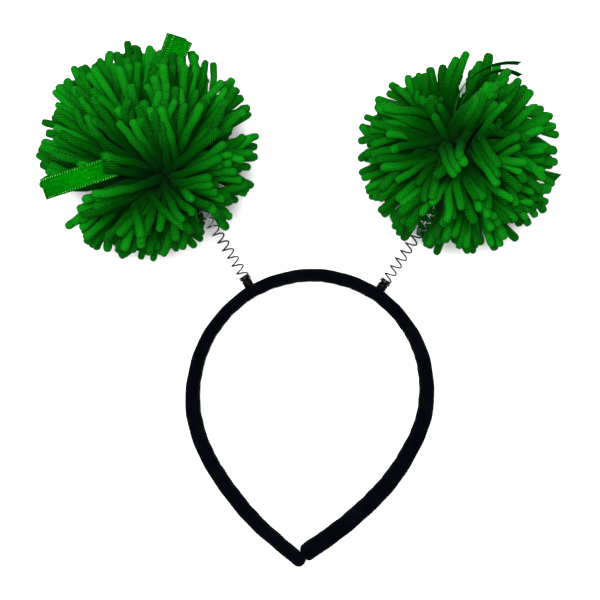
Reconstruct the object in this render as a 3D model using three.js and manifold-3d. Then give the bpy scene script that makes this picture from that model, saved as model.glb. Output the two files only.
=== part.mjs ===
// Pompom headband lying flat, as it is laid down: a padded velvet band bent to a teardrop, and two
// tied yarn pompoms on coil springs that stand on pegs at its crown.
// Millimetres, +Z up. The pieces are placed from the middle of the crown, and the finished group is
// then moved so that the origin is under the middle of the whole object, on the surface it lies on.
import * as THREE from "three";
import { LoftGeometry } from "three/addons/geometries/LoftGeometry.js";
import { mergeVertices } from "three/addons/utils/BufferGeometryUtils.js";
import Module from "manifold-3d";

const wasm = await Module();
wasm.setup();

const GAP = 0.3; // clear space between neighbouring pieces
const WELD = 1e-4; // points closer than this are one point
const SMALLEST_DETAIL = 0.05; // slivers left by a cut are smoothed away below this

// Band: a padded strip, its centre line bent from arcs, starting at the crown
const BAND_DEPTH = 10;
const BAND_SQUARENESS = 2.4; // superellipse power of the section
const BAND_FLAT_SHARE = 0.92; // the underside is pressed flat at this share of the half depth
const BAND_SECTION_POINTS = 16;
const BAND_STEP = 9.5;
const END_ANGLES = [35, 65, 84]; // of the arc that rounds off a tip
const BAND_THICKNESS = [
  { along: 0, left: 6.5, right: 6.5 },
  { along: 45, left: 6.4, right: 6.7 },
  { along: 80, left: 7, right: 7.3 },
  { along: 105, left: 7.7, right: 8 },
  { along: 150, left: 7.7, right: 8.7 },
  { along: 200, left: 7, right: 9 },
];
const ARMS = {
  left: {
    mirror: -1,
    endRound: 3.4,
    arcs: [
      { length: 56.6, turn: 54.7 },
      { length: 68.4, turn: 63 },
      { length: 51.1, turn: 20.7 },
      { length: 22.5, turn: 4 },
    ],
  },
  right: {
    mirror: 1,
    endRound: 1.4,
    arcs: [
      { length: 115.3, turn: 115.3 },
      { length: 42.9, turn: 22.5 },
      { length: 38.2, turn: 9.5 },
    ],
  },
};

// Pegs: a collar set in the outer face of the band, leaning up out of its plane, and a round-headed
// nub on it that the spring grips
const COLLAR_DIAMETER = 4.8;
const COLLAR_HEIGHT = 3.2; // above the band's face
const PEG_ROOT = 2.2; // length below the band's face
const NUB_DIAMETER = 3.6;
const NUB_HEIGHT = 1.7; // above the collar
const NUB_ROUND = 0.6;
const PEG_LEAN = 9;
const PEG_SIDES = 12;
const PEG_ALONG = { left: 31.3, right: 34 }; // from the crown, along the centre line

// Springs: two close coils on the collar grip the nub, then an open coil runs into the pompom
const COIL_DIAMETER = 5.1; // to the middle of the wire
const WIRE_DIAMETER = 0.7;
const WIRE_SIDES = 5;
const COIL_STEPS = 8; // straight steps in each turn
const CLOSE_TURNS = 2;
const CLOSE_PITCH = WIRE_DIAMETER + GAP;
const OPEN_PITCH = 4.6;
const COIL_START = COLLAR_HEIGHT + GAP + WIRE_DIAMETER / 2; // above the band's face
const COIL_LEAD = 43.5; // how far the spring holds the peg's direction
const COIL_END = 24; // short of the pompom's heart
const BORE_SIDES = 10;
const BORE_SLACK = 0.35; // past the wire, so that the bore's flats stay clear of it

// Pompoms: locks of yarn that spring from a tie. pole is the way the yarn lay when it was tied, so
// the tie's groove runs round the ball square to it. pit is where the groove opens widest.
const POMPOMS = {
  left: { x: -79.5, y: 59, z: 46, radius: 53.5, pole: [0.05, 0.94, 0.34], pit: [0.08, -0.35, 0.93] },
  right: { x: 71, y: 57, z: 43, radius: 49.5, pole: [0.99, -0.05, 0.1], pit: [-0.12, 0.06, 0.99] },
};
const CORE_SHARE = 0.58; // radius of the solid heart, where the yarn is packed
const CORE_DETAIL = 2;
const LOCK_COUNT = 52;
const LOCK_SIDES = 5;
const LOCK_BOW = 0.3; // how far along a lock its bend is
const LOCK_SHORTEST = 0.9; // of the pompom's radius
const LOCK_TAPER = [
  { along: 0.5, half: 3.2 },
  { along: 0.88, half: 7.8 },
  { along: 1, half: 4.6 },
];
const GROOVE = 0.02; // share of the pole's height that the groove keeps free
const PIT_CLEAR = 5; // degrees round the pit that the locks are combed out of
const PARTING = 8; // degrees each side of the spring that are combed out, seen from above

// Ribbons: a knot at each heart and loose tails, whose routes are measured from the heart.
// across is the direction of the ribbon's width.
const RIBBON_WIDTH = 10;
const RIBBON_THICKNESS = 1;
const KNOT_RADIUS = 4;
const KNOT_SIDES = 8;
const TAIL_STEPS = 6;
const TAILS = {
  left: [
    { across: [-0.36, 0.93, 0], route: [[0, 0, 0], [-1, -7.5, 34], [-18, -12.5, 33], [-44.5, -20.8, 25]] },
    { across: [0.97, -0.25, 0], route: [[0, 0, 0], [4, 18, 6], [10, 36, 9], [15.5, 53, 6]] },
    { across: [0.9, -0.42, 0], route: [[0, 0, 0], [5, 18, 12], [12, 36, 15], [18.7, 50.6, 12]] },
  ],
  right: [
    { across: [0, 0, 1], route: [[0, 0, 0], [-14, 21.5, 20], [1, 43, 24], [24.6, 40.2, 22]] },
    { across: [0, 0, 1], route: [[0, 0, 0], [-12, 20, 12], [8, 46, 16], [26, 35.6, 14]] },
    { across: [0.1, 0.35, 0.93], route: [[0, 0, 0], [15, -4, 2], [30, -8, 0], [46, -11.2, -3]] },
  ],
};

const MATERIALS = {
  velvet: new THREE.MeshStandardMaterial({ color: 0x0b0c12, roughness: 0.95, metalness: 0 }),
  peg: new THREE.MeshStandardMaterial({ color: 0x111217, roughness: 0.6, metalness: 0 }),
  steel: new THREE.MeshStandardMaterial({ color: 0xa9adb2, roughness: 0.25, metalness: 1 }),
  yarn: new THREE.MeshStandardMaterial({ color: 0x0c8a1c, roughness: 0.9, metalness: 0 }),
  satin: new THREE.MeshStandardMaterial({ color: 0x1c9a2c, roughness: 0.45, metalness: 0 }),
};

const UP = new THREE.Vector3(0, 0, 1);
const vector = (triple) => new THREE.Vector3(...triple);
const radians = THREE.MathUtils.degToRad;

// A round outline, counterclockwise, as points of a flat plane
function roundOutline(sides, radius) {
  return Array.from({ length: sides }, (_, k) => {
    const angle = (2 * Math.PI * k) / sides;
    return new THREE.Vector2(radius * Math.cos(angle), radius * Math.sin(angle));
  });
}

// One section of a loft: the outline set at a point, side and up being square to the way forward
function section(at, side, up, outline) {
  return outline.map(({ x, y }) => at.clone().addScaledVector(side, x).addScaledVector(up, y));
}

function loft(sections) {
  return new LoftGeometry(sections, { closed: true, capStart: true, capEnd: true });
}

function toSolid(geometry) {
  const bare = new THREE.BufferGeometry();
  bare.setAttribute("position", geometry.attributes.position);
  bare.setIndex(geometry.index);
  const merged = mergeVertices(bare, WELD);
  return new wasm.Manifold(
    new wasm.Mesh({
      numProp: 3,
      vertProperties: new Float32Array(merged.attributes.position.array),
      triVerts: new Uint32Array(merged.index.array),
    }),
  );
}

function toGeometry(solid) {
  const mesh = solid.getMesh();
  const geometry = new THREE.BufferGeometry();
  const positions = new Float32Array(mesh.vertProperties);
  geometry.setAttribute("position", new THREE.BufferAttribute(positions, 3));
  geometry.setIndex(new THREE.BufferAttribute(new Uint32Array(mesh.triVerts), 1));
  geometry.computeVertexNormals();
  return geometry;
}

// The point and the outward direction at a distance from the crown along one arm's centre line
function armFrame(arm, distance) {
  let x = 0;
  let y = 0;
  let heading = 0;
  let left = distance;
  for (const { length, turn } of arm.arcs) {
    const run = Math.min(left, length);
    const bend = (radians(turn) * run) / length;
    const chord = bend === 0 ? run : (2 * run * Math.sin(bend / 2)) / bend;
    x += chord * Math.cos(heading + bend / 2);
    y -= chord * Math.sin(heading + bend / 2);
    heading += bend;
    left -= run;
  }
  return {
    at: new THREE.Vector3(arm.mirror * x, y, BAND_FLAT_SHARE * BAND_DEPTH / 2),
    outward: new THREE.Vector3(arm.mirror * Math.sin(heading), Math.cos(heading), 0),
  };
}

const armLength = (arm) => arm.arcs.reduce((sum, { length }) => sum + length, 0);

function bandThickness(side, distance) {
  const next = BAND_THICKNESS.findIndex(({ along }) => along >= distance);
  const b = BAND_THICKNESS[Math.max(next, 1)];
  const a = BAND_THICKNESS[Math.max(next, 1) - 1];
  const share = THREE.MathUtils.smoothstep(distance, a.along, b.along);
  return THREE.MathUtils.lerp(a[side], b[side], share);
}

// The band's section: a soft-cornered oval, pressed flat along the edge that it lies on
function bandOutline(thickness, swell) {
  const power = 2 / BAND_SQUARENESS;
  return roundOutline(BAND_SECTION_POINTS, 1).map(({ x, y }) => {
    const across = Math.sign(x) * Math.abs(x) ** power;
    const height = Math.max(Math.sign(y) * Math.abs(y) ** power, -BAND_FLAT_SHARE);
    return new THREE.Vector2((across * swell * thickness) / 2, (height * swell * BAND_DEPTH) / 2);
  });
}

// Stations from the crown to an arm's tip, with the last ones closing its rounded end
function armStations(side) {
  const arm = ARMS[side];
  const length = armLength(arm);
  const straight = length - arm.endRound;
  const steps = Math.round(straight / BAND_STEP);
  const stations = [];
  for (let k = 0; k <= steps; k++) stations.push({ distance: (straight * k) / steps, swell: 1 });
  for (const angle of END_ANGLES) {
    const distance = straight + arm.endRound * Math.sin(radians(angle));
    const inset = arm.endRound * (1 - Math.cos(radians(angle)));
    stations.push({ distance, swell: 1 - (2 * inset) / bandThickness(side, distance) });
  }
  return stations.map(({ distance, swell }) => {
    const { at, outward } = armFrame(arm, distance);
    return section(at, outward, UP, bandOutline(bandThickness(side, distance), swell));
  });
}

// Where a peg stands: the point on the band's face and the direction it leans in
function pegFrame(side) {
  const along = PEG_ALONG[side];
  const { at, outward } = armFrame(ARMS[side], along);
  const direction = outward.clone().multiplyScalar(Math.cos(radians(PEG_LEAN)));
  direction.addScaledVector(UP, Math.sin(radians(PEG_LEAN)));
  const face = at.clone().addScaledVector(direction, bandThickness(side, along) / 2);
  return { face, direction };
}

// A peg on its own axis, Y, with the band's face at 0
function pegGeometry() {
  const height = COLLAR_HEIGHT + NUB_HEIGHT;
  const profile = new THREE.Path();
  profile.moveTo(0, -PEG_ROOT);
  profile.lineTo(COLLAR_DIAMETER / 2, -PEG_ROOT);
  profile.lineTo(COLLAR_DIAMETER / 2, COLLAR_HEIGHT);
  profile.lineTo(NUB_DIAMETER / 2, COLLAR_HEIGHT);
  profile.lineTo(NUB_DIAMETER / 2, height - NUB_ROUND);
  profile.absarc(NUB_DIAMETER / 2 - NUB_ROUND, height - NUB_ROUND, NUB_ROUND, 0, Math.PI / 2, false);
  profile.lineTo(0, height);
  return new THREE.LatheGeometry(profile.getPoints(2), PEG_SIDES);
}

// The hole that a peg's root is set in, on the same axis and open past the band's face
function socketGeometry() {
  const radius = COLLAR_DIAMETER / 2 + GAP;
  const length = PEG_ROOT + GAP + COLLAR_HEIGHT;
  const middle = COLLAR_HEIGHT - length / 2;
  return new THREE.CylinderGeometry(radius, radius, length, PEG_SIDES).translate(0, middle, 0);
}

function standOn(geometry, { face, direction }) {
  const turn = new THREE.Quaternion().setFromUnitVectors(new THREE.Vector3(0, 1, 0), direction);
  return geometry.clone().applyQuaternion(turn).translate(face.x, face.y, face.z);
}

function bandGeometry() {
  const left = armStations("left").reverse();
  const right = armStations("right").slice(1);
  let band = toSolid(loft([...left, ...right]));
  const socket = socketGeometry();
  for (const side of Object.keys(ARMS)) band = band.subtract(toSolid(standOn(socket, pegFrame(side))));
  return toGeometry(band);
}

const heart = ({ x, y, z }) => new THREE.Vector3(x, y, z);

// The spring's middle line leaves along its peg and bends towards the pompom's heart
function springLine(side) {
  const { face, direction } = pegFrame(side);
  const start = face.clone().addScaledVector(direction, COIL_START);
  const lead = start.clone().addScaledVector(direction, COIL_LEAD);
  const centre = heart(POMPOMS[side]);
  const end = centre.clone().addScaledVector(lead.clone().sub(centre).normalize(), COIL_END);
  return new THREE.QuadraticBezierCurve3(start, lead, end);
}

// A flat curve's frame: side is square to its plane, up lies in it
function lineFrame(line, share) {
  const side = line.v1.clone().sub(line.v0).cross(line.v2.clone().sub(line.v1)).normalize();
  const forward = line.getTangentAt(share);
  return { at: line.getPointAt(share), forward, side, up: forward.clone().cross(side) };
}

function springGeometry(side) {
  const line = springLine(side);
  const length = line.getLength();
  const closeLength = CLOSE_TURNS * CLOSE_PITCH;
  const turns = CLOSE_TURNS + (length - closeLength) / OPEN_PITCH;
  const radius = COIL_DIAMETER / 2;
  const wire = roundOutline(WIRE_SIDES, WIRE_DIAMETER / 2);
  const sections = [];
  for (let k = 0; k <= Math.floor(turns * COIL_STEPS); k++) {
    const turn = k / COIL_STEPS;
    const open = turn > CLOSE_TURNS;
    const pitch = open ? OPEN_PITCH : CLOSE_PITCH;
    const distance = open ? closeLength + (turn - CLOSE_TURNS) * pitch : turn * pitch;
    const frame = lineFrame(line, distance / length);
    const angle = 2 * Math.PI * turn;
    const out = frame.side.clone().multiplyScalar(Math.cos(angle));
    out.addScaledVector(frame.up, Math.sin(angle));
    const forward = frame.forward.clone().cross(out).multiplyScalar(2 * Math.PI * radius);
    forward.addScaledVector(frame.forward, pitch).normalize();
    sections.push(section(frame.at.addScaledVector(out, radius), out, forward.cross(out), wire));
  }
  return loft(sections);
}

// The bore that the spring runs in, open where it leaves the pompom
function springBore(side) {
  const line = springLine(side);
  const outline = roundOutline(BORE_SIDES, (COIL_DIAMETER + WIRE_DIAMETER) / 2 + GAP + BORE_SLACK);
  const sections = [];
  for (let k = 0; k <= BORE_SIDES; k++) {
    const { at, forward, side: across, up } = lineFrame(line, k / BORE_SIDES);
    if (k === BORE_SIDES) at.addScaledVector(forward, WIRE_DIAMETER + GAP);
    sections.push(section(at, across, up, outline));
  }
  return toSolid(loft(sections));
}

// One ribbon tail, swollen by a margin on every side where it stands for the slot that it lies in
function tailSolid(centre, { across, route }, margin) {
  const points = route.map((point) => vector(point).add(centre));
  const line = new THREE.CubicBezierCurve3(...points);
  const halfWidth = RIBBON_WIDTH / 2 + margin;
  const halfThickness = RIBBON_THICKNESS / 2 + margin;
  const outline = [
    new THREE.Vector2(-halfWidth, -halfThickness),
    new THREE.Vector2(halfWidth, -halfThickness),
    new THREE.Vector2(halfWidth, halfThickness),
    new THREE.Vector2(-halfWidth, halfThickness),
  ];
  const sections = [];
  for (let k = 0; k <= TAIL_STEPS; k++) {
    const forward = line.getTangentAt(k / TAIL_STEPS);
    const at = line.getPointAt(k / TAIL_STEPS);
    if (k === TAIL_STEPS) at.addScaledVector(forward, margin);
    const side = vector(across).addScaledVector(forward, -vector(across).dot(forward)).normalize();
    sections.push(section(at, side, forward.cross(side), outline));
  }
  return toSolid(loft(sections));
}

function ribbonSolid(side, margin) {
  const centre = heart(POMPOMS[side]);
  const knot = new THREE.SphereGeometry(KNOT_RADIUS + margin, KNOT_SIDES, KNOT_SIDES - 2);
  knot.translate(centre.x, centre.y, centre.z);
  return TAILS[side].reduce((solid, tail) => solid.add(tailSolid(centre, tail, margin)), toSolid(knot));
}

// Moves a direction out of a cone round another one, closing up those just outside it
function combOut(direction, from, clearance) {
  const angle = direction.angleTo(from);
  const reach = 2 * radians(clearance);
  if (angle >= reach || angle === 0) return;
  const axis = from.clone().cross(direction).normalize();
  direction.applyAxisAngle(axis, (reach - angle) / 2);
}

// Moves a direction sideways out of the upright plane through the spring, on the spring's side
function partAside(direction, spring) {
  const plan = new THREE.Vector3(spring.x, spring.y, 0).normalize();
  const across = UP.clone().cross(plan);
  const ahead = direction.dot(plan);
  const aside = direction.dot(across);
  const wanted = Math.sin(radians(PARTING)) * THREE.MathUtils.smoothstep(ahead, 0, 0.5);
  if (Math.abs(aside) < wanted) direction.addScaledVector(across, Math.sign(aside) * wanted - aside);
  direction.normalize();
}

// The tips' directions: evenly spread over the ball, kept off the groove, the pit and the spring
function lockDirections(side) {
  const pompom = POMPOMS[side];
  const pole = vector(pompom.pole).normalize();
  const pit = vector(pompom.pit).normalize();
  const spring = springLine(side).v1.clone().sub(heart(pompom)).normalize();
  const toPole = new THREE.Quaternion().setFromUnitVectors(UP, pole);
  const goldenAngle = Math.PI * (3 - Math.sqrt(5));
  return Array.from({ length: LOCK_COUNT }, (_, k) => {
    const height = 1 - (2 * k + 1) / LOCK_COUNT;
    const lifted = Math.sign(height) * (GROOVE + (1 - GROOVE) * Math.abs(height));
    const ring = Math.sqrt(1 - lifted ** 2);
    const around = k * goldenAngle;
    const direction = new THREE.Vector3(ring * Math.cos(around), ring * Math.sin(around), lifted);
    direction.applyQuaternion(toPole);
    combOut(direction, pit, PIT_CLEAR);
    partAside(direction, spring);
    return direction;
  });
}

// One lock: it leaves the heart along the pole and bows over to its own direction
function lockSolid(pompom, direction, reach) {
  const centre = heart(pompom);
  const pole = vector(pompom.pole).normalize();
  pole.multiplyScalar(Math.sign(pole.dot(direction)));
  const bend = direction.clone().add(pole).normalize().multiplyScalar(LOCK_BOW * reach);
  const tip = direction.clone().multiplyScalar(reach);
  const line = new THREE.QuadraticBezierCurve3(centre, centre.clone().add(bend), centre.clone().add(tip));
  const sections = LOCK_TAPER.map(({ along, half }) => {
    const { at, side, up } = lineFrame(line, along);
    return section(at, side, up, roundOutline(LOCK_SIDES, half));
  });
  return toSolid(loft(sections));
}

function pompomGeometry(side) {
  const pompom = POMPOMS[side];
  const { x, y, z, radius } = pompom;
  const core = new THREE.IcosahedronGeometry(CORE_SHARE * radius, CORE_DETAIL).translate(x, y, z);
  const locks = lockDirections(side).map((direction, k) => {
    const share = (k * Math.SQRT2) % 1;
    return lockSolid(pompom, direction, radius * THREE.MathUtils.lerp(LOCK_SHORTEST, 1, share));
  });
  const under = new THREE.BoxGeometry(3 * radius, 3 * radius, radius).translate(x, y, -radius / 2);
  const trimmed = locks
    .reduce((solid, lock) => solid.add(lock), toSolid(core))
    .subtract(toSolid(under))
    .subtract(springBore(side))
    .subtract(ribbonSolid(side, GAP))
    .simplify(SMALLEST_DETAIL);
  const [largest] = trimmed.decompose().sort((a, b) => b.volume() - a.volume());
  return toGeometry(largest);
}

function addPiece(name, geometry, material) {
  const piece = new THREE.Mesh(geometry, material);
  piece.name = name;
  headband.add(piece);
}

const headband = new THREE.Group();
const peg = pegGeometry();
addPiece("band", bandGeometry(), MATERIALS.velvet);
for (const side of Object.keys(ARMS)) {
  addPiece(`peg_${side}`, standOn(peg, pegFrame(side)), MATERIALS.peg);
  addPiece(`spring_${side}`, springGeometry(side), MATERIALS.steel);
  addPiece(`pompom_${side}`, pompomGeometry(side), MATERIALS.yarn);
  addPiece(`ribbon_${side}`, toGeometry(ribbonSolid(side, 0)), MATERIALS.satin);
}

const box = new THREE.Box3().setFromObject(headband, true);
const middle = box.getCenter(new THREE.Vector3());
headband.position.set(-middle.x, -middle.y, -box.min.z);

export default headband;
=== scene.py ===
"""The looks of a pompom headband: velvet band, pegs, coil springs, yarn pompoms and satin ribbons.

Sizes are in millimetres, measured from the middle of the crown's centre line as in the part's source.
Each mesh is turned to metres and set in the frame when it becomes a piece.
"""
import math

import bmesh
import bpy
import numpy as np
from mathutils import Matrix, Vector


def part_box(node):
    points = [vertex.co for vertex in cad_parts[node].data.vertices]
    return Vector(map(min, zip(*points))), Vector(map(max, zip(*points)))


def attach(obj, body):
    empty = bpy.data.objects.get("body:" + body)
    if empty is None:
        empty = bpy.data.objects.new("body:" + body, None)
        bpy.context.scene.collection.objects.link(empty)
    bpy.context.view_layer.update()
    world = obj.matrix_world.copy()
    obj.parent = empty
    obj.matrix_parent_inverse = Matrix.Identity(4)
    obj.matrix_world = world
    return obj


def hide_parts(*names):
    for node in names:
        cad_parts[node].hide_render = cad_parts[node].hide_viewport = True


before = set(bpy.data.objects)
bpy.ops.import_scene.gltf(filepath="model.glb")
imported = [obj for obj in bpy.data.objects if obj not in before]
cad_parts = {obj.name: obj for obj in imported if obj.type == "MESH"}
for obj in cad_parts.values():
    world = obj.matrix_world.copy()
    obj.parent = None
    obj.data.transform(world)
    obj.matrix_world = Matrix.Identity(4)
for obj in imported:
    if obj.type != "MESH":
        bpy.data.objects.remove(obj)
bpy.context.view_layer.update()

MM = 0.001
WELD = 0.001  # points nearer than this are one

# Band: a padded strip, its centre line bent from arcs (length, turn in degrees) from the crown outwards
BAND_DEPTH = 10.0
BAND_SQUARENESS = 2.4  # power of the section's oval: 2 is an ellipse, and more is squarer
BAND_FLAT_SHARE = 0.92  # of half the depth, from the middle down to the flat lower face
BAND_MID_HEIGHT = BAND_FLAT_SHARE * BAND_DEPTH / 2
BAND_THICKNESS_AT = (0, 45, 80, 105, 150, 200)
BAND_THICKNESS = {"left": (6.5, 6.4, 7.0, 7.7, 7.7, 7.0), "right": (6.5, 6.7, 7.3, 8.0, 8.7, 9.0)}
BAND_REACH_STEP = 0.5  # between the places where the band's reach to the side is tried
ARM_ARCS = {
    "left": ((56.6, 54.7), (68.4, 63.0), (51.1, 20.7), (22.5, 4.0)),
    "right": ((115.3, 115.3), (42.9, 22.5), (39.1, 9.7)),
}
ARM_MIRROR = {"left": -1, "right": 1}
ARM_END_ROUND = {"left": 3.4, "right": 2.4}

# Pegs: a collar set in the band, and a nub on it that the spring's two close coils grip
COLLAR_RADIUS = 2.4
COLLAR_HEIGHT = 3.2
PEG_ROOT = 2.2
NUB_RADIUS = 1.8
NUB_HEIGHT = 1.7
PEG_LEAN = math.radians(9)
PEG_ALONG = {"left": 31.3, "right": 34.0}

# Springs: two close coils, and open ones along a curve from the peg into the pompom
COIL_RADIUS = 2.55
WIRE_RADIUS = 0.42  # a little over the solid's, because a bright floor eats the edges of so thin a wire
CLOSE_GAP = 0.16
CLOSE_TURNS = 2
CLOSE_PITCH = 2 * WIRE_RADIUS + CLOSE_GAP
OPEN_PITCH = 4.6
COIL_START = COLLAR_HEIGHT + CLOSE_GAP + WIRE_RADIUS
COIL_LEAD = 43.5  # how far on along the peg the spring's line heads before it bends
COIL_END = 24.0  # from the pompom's heart

# Pompoms: tie is where the yarn is tied, measured from the middle of the ball, and pole the way it lay then,
# which a strand follows by pole_share as it leaves the tie. Strands part round pit, by clear degrees, and
# they lie aside of the spring from parting outwards. A tuft is strands that stand between two directions:
# those two, the number of strands, and their reach as a share of the radius. A notch is a gap in the outline:
# degrees round from +X, and half its width in degrees. sway is how far the ball leans off its heart, and
# under is the number of strands that run along the floor below the spring.
POMPOMS = {
    "left": {
        "heart": (-79.5, 59.0, 46.0), "radius": 53.5, "tie": (4.0, -11.0, 4.0), "pole": (0.05, 0.94, 0.34),
        "pole_share": 0.2, "pit": (0.1, -0.25, 0.96), "clear": 22, "parting": 40, "seed": 31,
        "tufts": (
            ((-0.2, 0.06, 0.98), (0.35, 0.32, 0.88), 9, 1.0),
            ((-0.1, 0.3, 0.95), (0.25, 0.5, 0.83), 8, 1.0),
            ((0.1, 0.75, 0.6), (0.4, 0.75, 0.5), 9, 0.97),
        ),
        "notches": ((211.5, 10), (275, 2), (358, 2)), "sway": (0.8, -0.8, 0), "under": 0,
    },
    "right": {
        "heart": (71.0, 57.0, 43.0), "radius": 49.5, "tie": (-3.5, 4.0, 6.0), "pole": (0.99, -0.05, 0.1),
        "pole_share": 0.15, "pit": (-0.3, 0.06, 0.95), "clear": 23, "parting": 29, "seed": 23,
        "tufts": (
            ((-0.22, -0.34, 0.92), (-0.12, 0, 0.99), 5, 0.96),
            ((0.2, 0.42, 0.88), (0.34, 0.64, 0.69), 24, 1.05),
        ),
        "notches": ((95, 2), (292, 2)), "sway": (-1.2, 0.3, 0), "under": 12,
    },
}

# Ribbons: routes from the middle of the ball. across is the direction of the ribbon's width, and bare the
# share of the route from which no yarn covers it. There yarn is pressed under a tail that lies flat, and to
# both sides of one that stands on its edge.
RIBBON_WIDTH = 10.0
RIBBON_THICKNESS = 0.36
TAILS = {
    "left": (
        {
            "across": (-0.36, 0.93, 0), "bare": 0.6, "flat": True,
            "route": ((0, 0, 0), (-1, -7.5, 22), (-18, -12.5, 33), (-44.5, -20.8, 25)),
        },
        {
            "across": (0.97, -0.25, 0), "bare": 0.85, "flat": True,
            "route": ((0, 0, 0), (4, 18, 6), (10, 36, 9), (15.5, 53, 6)),
        },
        {
            "across": (0.9, -0.42, 0), "bare": 0.85, "flat": True,
            "route": ((0, 0, 0), (5, 18, 12), (12, 36, 15), (18.7, 50.6, 12)),
        },
    ),
    "right": (
        {
            "across": (0, 0, 1), "bare": 0.34, "flat": False,
            "route": ((0, 0, 0), (-14, 21.5, 20), (1, 43, 24), (24.6, 40.2, 22)),
        },
        {
            "across": (0, 0, 1), "bare": 0.34, "flat": False,
            "route": ((0, 0, 0), (-12, 20, 12), (8, 46, 16), (26, 35.6, 14)),
        },
        {
            "across": (0.1, 0.35, 0.93), "bare": 0.97, "flat": False,
            "route": ((0, 0, 0), (15, -4, 2), (30, -8, 0), (46, -11.2, -3)),
        },
    ),
}

UP = np.array((0.0, 0.0, 1.0))
SIDES = ("left", "right")
FINE = np.linspace(0, 1, 200)  # shares of a route, for the points of its line


def unit(vectors):
    """The vector, or each row of vectors, at length 1."""
    vectors = np.asarray(vectors, float)
    return vectors / np.linalg.norm(vectors, axis=-1, keepdims=True)


def smooth_share(value, low, high):
    """0 below low, 1 above high, and an even ease between."""
    share = np.clip((value - low) / (high - low), 0, 1)
    return share * share * (3 - 2 * share)


def arm_frame(side, distance):
    """The point of an arm's centre line at a distance from the crown, and the way out of the loop there."""
    x = y = heading = 0.0
    left = distance
    for length, turn in ARM_ARCS[side]:
        run = min(left, length)
        bend = math.radians(turn) * run / length
        chord = run if bend == 0 else 2 * run * math.sin(bend / 2) / bend
        x += chord * math.cos(heading + bend / 2)
        y -= chord * math.sin(heading + bend / 2)
        heading += bend
        left -= run
    mirror = ARM_MIRROR[side]
    outward = np.array((mirror * math.sin(heading), math.cos(heading), 0.0))
    return np.array((mirror * x, y, BAND_MID_HEIGHT)), outward


def arm_length(side):
    """The length of an arm from the crown to its tip."""
    return sum(length for length, _ in ARM_ARCS[side])


def band_thickness(side, distance):
    """The band's thickness, eased from one measured place to the next."""
    k = int(np.clip(np.searchsorted(BAND_THICKNESS_AT, distance), 1, len(BAND_THICKNESS_AT) - 1))
    share = smooth_share(distance, BAND_THICKNESS_AT[k - 1], BAND_THICKNESS_AT[k])
    return BAND_THICKNESS[side][k - 1] * (1 - share) + BAND_THICKNESS[side][k] * share


def crown_place():
    """Where the crown's middle lies in the frame, from the band's box there."""
    low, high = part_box("band")
    reach = 0.0
    for distance in np.arange(0.0, arm_length("left"), BAND_REACH_STEP):
        at, outward = arm_frame("left", distance)
        reach = min(reach, at[0] + outward[0] * band_thickness("left", distance) / 2)
    return np.array((low.x / MM - reach, high.y / MM - BAND_THICKNESS["left"][0] / 2, 0.0))


CROWN = crown_place()


def peg_frame(side):
    """The point on the band's outer face under a peg, and the way the peg leans."""
    at, outward = arm_frame(side, PEG_ALONG[side])
    direction = outward * math.cos(PEG_LEAN) + UP * math.sin(PEG_LEAN)
    return at + direction * band_thickness(side, PEG_ALONG[side]) / 2, direction


def bezier(points, shares):
    """Points of a quadratic or cubic Bezier curve."""
    rows = np.repeat(np.asarray(points, float)[None], len(shares), axis=0)
    t = np.asarray(shares, float)[:, None, None]
    while rows.shape[1] > 1:
        rows = rows[:, :-1] * (1 - t) + rows[:, 1:] * t
    return rows[:, 0]


def lengths_along(lines):
    """The distance along a line, or along each of several, from its start to each of its points."""
    steps = np.linalg.norm(np.diff(lines, axis=-2), axis=-1)
    return np.concatenate((np.zeros_like(steps[..., :1]), np.cumsum(steps, axis=-1)), axis=-1)


def points_at(distances, along, line):
    """The points of a line at some distances, where along is the distance to each of its own points."""
    return np.stack([np.interp(distances, along, line[:, k]) for k in range(3)], axis=1)


def even_points(line, count):
    """The same line as count points, evenly spaced along it."""
    along = lengths_along(line)
    return points_at(np.linspace(0, along[-1], count), along, line)


def spring_line(side):
    """The spring's middle line: out along the peg, then bent towards the pompom's heart."""
    face, direction = peg_frame(side)
    start = face + direction * COIL_START
    lead = start + direction * COIL_LEAD
    heart = np.array(POMPOMS[side]["heart"])
    return bezier((start, lead, heart + unit(lead - heart) * COIL_END), FINE)


def tail_line(side, tail):
    """The middle line of one ribbon tail."""
    return bezier(np.array(tail["route"]) + POMPOMS[side]["heart"], FINE)


def tail_frame(tail, line):
    """The ways ahead along a ribbon tail's line, across its width and square to its face, point by point."""
    ahead = unit(np.gradient(line, axis=0))
    wanted = np.asarray(tail["across"], float)
    across = unit(wanted - (ahead @ wanted)[:, None] * ahead)
    return ahead, across, np.cross(ahead, across)


# Making pieces


def laid_grid(rows, columns, place):
    """A grid with a UV map. Its point at a row and column, shares from 0 to 1, goes to place(row, column)."""
    bm = bmesh.new()
    bm.loops.layers.uv.verify()
    bmesh.ops.create_grid(bm, x_segments=columns, y_segments=rows, size=0.5, calc_uvs=True)
    for vert in bm.verts:
        vert.co = Vector(place(vert.co.y + 0.5, vert.co.x + 0.5))
    return bm


def piece_from_mesh(mesh, name, material, nodes):
    """Sets a mesh made in millimetres from the crown into the frame, as a piece that stands for CAD nodes."""
    points = np.empty(len(mesh.vertices) * 3, np.float32)
    mesh.vertices.foreach_get("co", points)
    moved = (points.reshape(-1, 3) + CROWN) * MM
    mesh.vertices.foreach_set("co", moved.astype(np.float32).ravel())
    mesh.polygons.foreach_set("use_smooth", [True] * len(mesh.polygons))
    mesh.materials.append(material)
    mesh.update()
    piece = bpy.data.objects.new(name, mesh)
    bpy.context.scene.collection.objects.link(piece)
    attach(piece, "root")
    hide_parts(*nodes)
    return piece


def piece_from_bmesh(bm, name, material, nodes):
    """The same for a bmesh, which is freed."""
    mesh = bpy.data.meshes.new(name)
    bm.to_mesh(mesh)
    bm.free()
    return piece_from_mesh(mesh, name, material, nodes)


# Materials


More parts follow.
